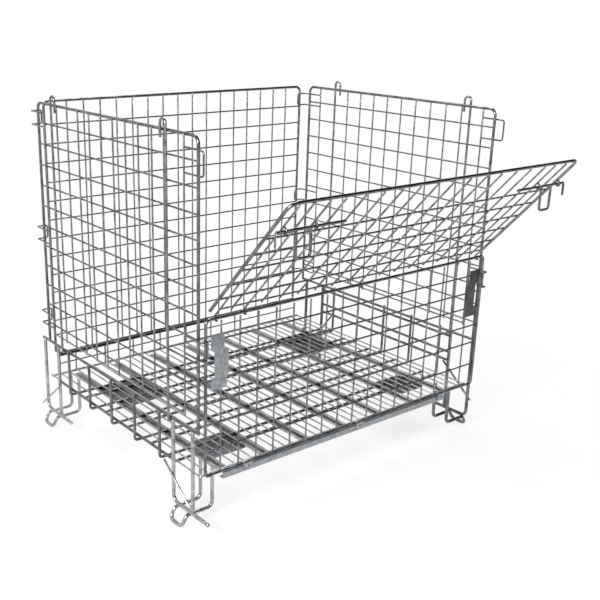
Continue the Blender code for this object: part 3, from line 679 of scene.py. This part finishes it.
def weave_back_wall():
    """The back wall on its own bottom rail."""
    top = BACK_TOP_Z - BACK_HINGE_Z
    rods = [hoop(back, BACK_HALF_X, top, WIRE_LAYER - SINK, CORNER_BEND, ROD_R)]
    rows = [BACK_ROW_FIRST + BACK_ROW_PITCH * index for index in range(BACK_ROW_COUNT)]
    for z in BACK_LOW_ROWS + rows:
        ends = [back.level(u, z, CROSS_LAYER) for u in (-BACK_HALF_X, BACK_HALF_X)]
        rods.append((ends, WIRE_R))
    lay_rods("back_wall_hoop", "back_wall", ZINC_ROD, rods, ["back_wall_frame"])
    rods = [([back.at(-BACK_HALF_X, 0), back.at(BACK_HALF_X, 0)], ROD_R)]
    for u in spread(BACK_UPRIGHTS, BACK_PITCH):
        rods.append(([back.at(u, 0), back.at(u, top)], WIRE_R))
    lay_rods("back_wall_wires", "back_wall", ZINC_WIRE, rods, ["back_wall_uprights"])


def weave_front_wall():
    """The front half wall; its top rail is the gate's hinge rod."""
    top = GATE_HINGE_Z - FRONT_HINGE_Z
    n = WIRE_LAYER
    corners = [
        (-FRONT_TUCK_X, FRONT_FOOT_V, FRONT_TUCK_N), (-FRONT_HALF_X, FRONT_FOOT_V, n),
        (-FRONT_HALF_X, top, n), (FRONT_HALF_X, top, n),
        (FRONT_HALF_X, FRONT_FOOT_V, n), (FRONT_TUCK_X, FRONT_FOOT_V, FRONT_TUCK_N),
    ]
    rods = [(bent([front.at(*corner) for corner in corners], FRONT_BEND), ROD_R)]
    for z in FRONT_ROWS:
        ends = [front.level(u, z, CROSS_LAYER) for u in (-FRONT_HALF_X, FRONT_HALF_X)]
        rods.append((ends, WIRE_R))
    lay_rods("front_wall_hoop", "front_wall", ZINC_ROD, rods, ["front_wall_frame"])
    rods = [([front.at(-FRONT_RAIL_HALF_X, 0), front.at(FRONT_RAIL_HALF_X, 0)], ROD_R)]
    end = top - WIRE_LAYER - WIRE_R - FRONT_UPRIGHT_SHY
    for u in spread(FRONT_UPRIGHTS, FRONT_PITCH):
        rods.append(([front.at(u, 0), front.at(u, end)], WIRE_R))
    lay_rods("front_wall_wires", "front_wall", ZINC_WIRE, rods, ["front_wall_uprights"])


def press_latches():
    """The two lift plates in front of the half wall, notched for the side walls' hooks."""
    n = CROSS_LAYER + WIRE_R + GAP
    for side, word in ((-1, "left"), (1, "right")):
        outline = [front.level(side * u, z, n) for u, z in LATCH_OUTLINE]
        plate = press_sheet(outline, -Y_AXIS * LATCH_THICK, STRAP_EDGE)
        rib = dome(Vector(), 1.0, 1.0, -Y_AXIS)
        middle = front.level(side * LATCH_RIB_X, LATCH_RIB_Z, n + LATCH_RIB_LAYER)
        rib.data.transform(Matrix.Translation(middle) @ Matrix.Diagonal((*LATCH_RIB_HALF, 1.0)))
        piece = join_pieces([plate, rib])
        # Painted dark reflection: the right plate gets the dark deck-plate finish to stand for the dark
        # side of the room that it mirrors
        look = ZINC_SHEET if side < 0 else DULL_PLATE_AND_PAINTED_DARK_REFLECTION
        finish_piece(piece, "lift_latch_" + word, "latch_slider_" + word, look,
                     ["latch_plate_" + word])


def weave_gate():
    """The drop gate, whose wires curl round the front wall's top rail."""
    n = -WIRE_LAYER
    rods = [hoop(gate, GATE_HALF_X, GATE_LENGTH, n - WIRE_LAYER + SINK, GATE_BEND, GATE_START)]
    cross_n = n - CROSS_LAYER
    for index in range(GATE_ROW_COUNT):
        v = GATE_ROW_FIRST + GATE_ROW_PITCH * index
        rods.append(([gate.at(-GATE_HALF_X, v, cross_n), gate.at(GATE_HALF_X, v, cross_n)], WIRE_R))
    lay_rods("gate_hoop", "gate", ZINC_ROD, rods, ["gate_frame"])

    places = spread(GATE_UPRIGHTS, GATE_PITCH)
    places += [side * u for u in GATE_SIDE_UPRIGHTS for side in (-1, 1)]
    rods = []
    for u in places:
        head = gate.at(u, GATE_LENGTH, n)
        if min(abs(u - curl) for curl in GATE_CURLS) < WIRE_R:
            ring = arc(gate.at(u, 0), -gate.out, -gate.up, WIRE_LAYER, math.pi)
            rods.append((list(reversed(ring)) + [head], WIRE_R))
        else:
            rods.append(([gate.at(u, GATE_START, n), head], WIRE_R))
    rods.append(([gate.at(u, GATE_TIE_V, n) for u in (-GATE_TIE_HALF_X, GATE_TIE_HALF_X)], WIRE_R))
    lay_rods("gate_wires", "gate", ZINC_WIRE, rods, ["gate_uprights"])


def bend_bolts():
    """Each side's slide bolt in its two staples, with the bent handle and nose that hang on it."""
    grip = STAPLE_R + BOLT_R + STAPLE_PLAY
    seat = -WIRE_LAYER + WIRE_R
    for side, word in ((-1, "left"), (1, "right")):

        def on_bolt(u):
            return gate.at(side * u, BOLT_V, BOLT_LAYER)

        lay_rods("slide_bolt_" + word, "bolt_slider_" + word, ZINC_ROD,
                 [([on_bolt(u) for u in BOLT_SPAN], BOLT_R)], ["bolt_" + word], STOUT_ROD_SIDES)
        legs = [on_bolt(u) for u in HANDLE_LEGS]
        drop = -Z_AXIS * HANDLE_HANG
        handle = bent([legs[0], legs[0] + drop, legs[1] + drop, legs[1]], HANDLE_BEND)
        tip = on_bolt(BOLT_SPAN[1])
        nose = bent([on_bolt(NOSE_START), tip, tip - Z_AXIS * NOSE_DROP], NOSE_BEND)
        lay_rods("bolt_grip_" + word, "handle_" + word, ZINC_ROD,
                 [(handle, BOLT_R), (nose, BOLT_R)], ["bolt_handle_" + word], STOUT_ROD_SIDES)
        for place, u in STAPLE_PLACES:
            over = arc(on_bolt(u), gate.up, gate.out, grip, math.pi)
            feet = [gate.at(side * u, v, seat) for v in (BOLT_V + grip, BOLT_V - grip)]
            lay_rods("staple_" + place + "_" + word, "gate", ZINC_ROD,
                     [([feet[0]] + over + [feet[1]], STAPLE_R)], ["bolt_staple_" + place + "_" + word])


lay_deck()
lay_load_plates()
for side, word in ((-1, "left"), (1, "right")):
    lay_side_kerb(side, word)
lay_back_kerb()
for side, kerb in ((-1, "left"), (1, "right")):
    for y, word, brace in zip(FOOT_YS[kerb], FOOT_WORDS[kerb], BRACES[kerb]):
        bend_foot(side, y, EDGE_Z[kerb], KERB_Z[kerb], word, brace)
press_sill()
press_lugs(front, "front", [step * FRONT_PITCH for step in FRONT_LUG_STEPS])
press_lugs(back, "back", [step * BACK_PITCH for step in BACK_LUG_STEPS])
weave_side_wall(left, "left", 1)
weave_side_wall(right, "right", -1)
weave_back_wall()
weave_front_wall()
press_latches()
weave_gate()
bend_bolts()


def seen_rays(tree):
    """One for the rays that look at the floor straight, in metal or through glass."""
    path = add_node(tree, "ShaderNodeLightPath")
    seen = add_node(tree, "ShaderNodeMath", {"operation": "MAXIMUM"},
                    {0: path.outputs["Is Camera Ray"], 1: path.outputs["Is Glossy Ray"]})
    seen = add_node(tree, "ShaderNodeMath", {"operation": "MAXIMUM"},
                    {0: seen.outputs[0], 1: path.outputs["Is Transmission Ray"]})
    return seen.outputs[0]


def set_stage():
    """A wide white floor, a surround that is white to the left and back, and two soft lamps."""
    bpy.ops.object.select_all(action="DESELECT")
    bpy.ops.mesh.primitive_plane_add(size=FLOOR_SIZE, location=(0, 0, FLOOR_Z))
    floor = bpy.context.object
    floor.name = "studio_floor"
    paint = bpy.data.materials.new("studio_floor_paint")
    paint.use_nodes = True
    tree = paint.node_tree
    shader = tree.nodes["Principled BSDF"]
    shader.inputs["Base Color"].default_value = linear(FLOOR_PAINT)
    shader.inputs["Roughness"].default_value = 0.9
    shader.inputs["Specular IOR Level"].default_value = 0.1
    away = add_node(tree, "ShaderNodeVectorMath", {"operation": "LENGTH"},
                    {0: add_node(tree, "ShaderNodeTexCoord").outputs["Object"]})
    fade = add_node(tree, "ShaderNodeMapRange", {"interpolation_type": "SMOOTHSTEP"}, {
        "Value": away.outputs["Value"], "From Min": GLOW_NEAR, "From Max": GLOW_FAR,
        "To Min": GLOW_LEAST})
    share = add_node(tree, "ShaderNodeMath", {"operation": "MULTIPLY"},
                     {0: fade.outputs["Result"], 1: seen_rays(tree)})
    glow = add_node(tree, "ShaderNodeEmission", (), {"Color": (1.0, 1.0, 1.0, 1.0), "Strength": 1.0})
    blend = add_node(tree, "ShaderNodeMixShader", (), {
        0: share.outputs[0], 1: shader.outputs["BSDF"], 2: glow.outputs["Emission"]})
    tree.links.new(blend.outputs["Shader"], tree.nodes["Material Output"].inputs["Surface"])
    floor.data.materials.append(paint)

    world = bpy.data.worlds.new("studio_surround")
    world.use_nodes = True
    bpy.context.scene.world = world
    tree = world.node_tree
    look = add_node(tree, "ShaderNodeTexCoord").outputs["Generated"]
    toward = add_node(tree, "ShaderNodeVectorMath", {"operation": "DOT_PRODUCT"},
                      {0: look, 1: DARK_ROOM.normalized()})
    room = add_node(tree, "ShaderNodeMapRange", {"interpolation_type": "SMOOTHSTEP"}, {
        "Value": toward.outputs["Value"], "From Min": DARK_STARTS, "From Max": DARK_FULL,
        "To Min": 1.0, "To Max": DARK_LEVEL})
    sky = tree.nodes["Background"]
    sky.inputs["Color"].default_value = (1.0, 1.0, 1.0, 1.0)
    tree.links.new(room.outputs["Result"], sky.inputs["Strength"])

    for name, place, size, power in LAMPS:
        lamp = bpy.data.lights.new(name, "AREA")
        lamp.size = size
        lamp.energy = power
        holder = bpy.data.objects.new(name, lamp)
        holder.location = place
        holder.rotation_euler = (LAMP_AIM - Vector(place)).to_track_quat("-Z", "Y").to_euler()
        bpy.context.scene.collection.objects.link(holder)


def set_camera():
    """The camera at the photograph's place, turned a little about its own axis."""
    level = Vector((math.sin(CAMERA_AZIMUTH), math.cos(CAMERA_AZIMUTH), 0))
    ahead = level * math.cos(CAMERA_RISE) - Z_AXIS * math.sin(CAMERA_RISE)
    across = ahead.cross(Z_AXIS).normalized()
    upward = across.cross(ahead)
    turned = across * math.cos(CAMERA_ROLL) + upward * math.sin(CAMERA_ROLL)
    raised = upward * math.cos(CAMERA_ROLL) - across * math.sin(CAMERA_ROLL)
    data = bpy.data.cameras.new("photo_camera")
    data.sensor_width = CAMERA_SENSOR
    data.lens = CAMERA_LENS
    data.shift_x, data.shift_y = CAMERA_SHIFT
    camera = bpy.data.objects.new("photo_camera", data)
    axes = Matrix((turned, raised, -ahead)).transposed().to_4x4()
    camera.matrix_world = Matrix.Translation(CAMERA_PLACE) @ axes
    bpy.context.scene.collection.objects.link(camera)
    bpy.context.scene.camera = camera


set_stage()
set_camera()
bpy.context.scene.view_settings.view_transform = "Standard"
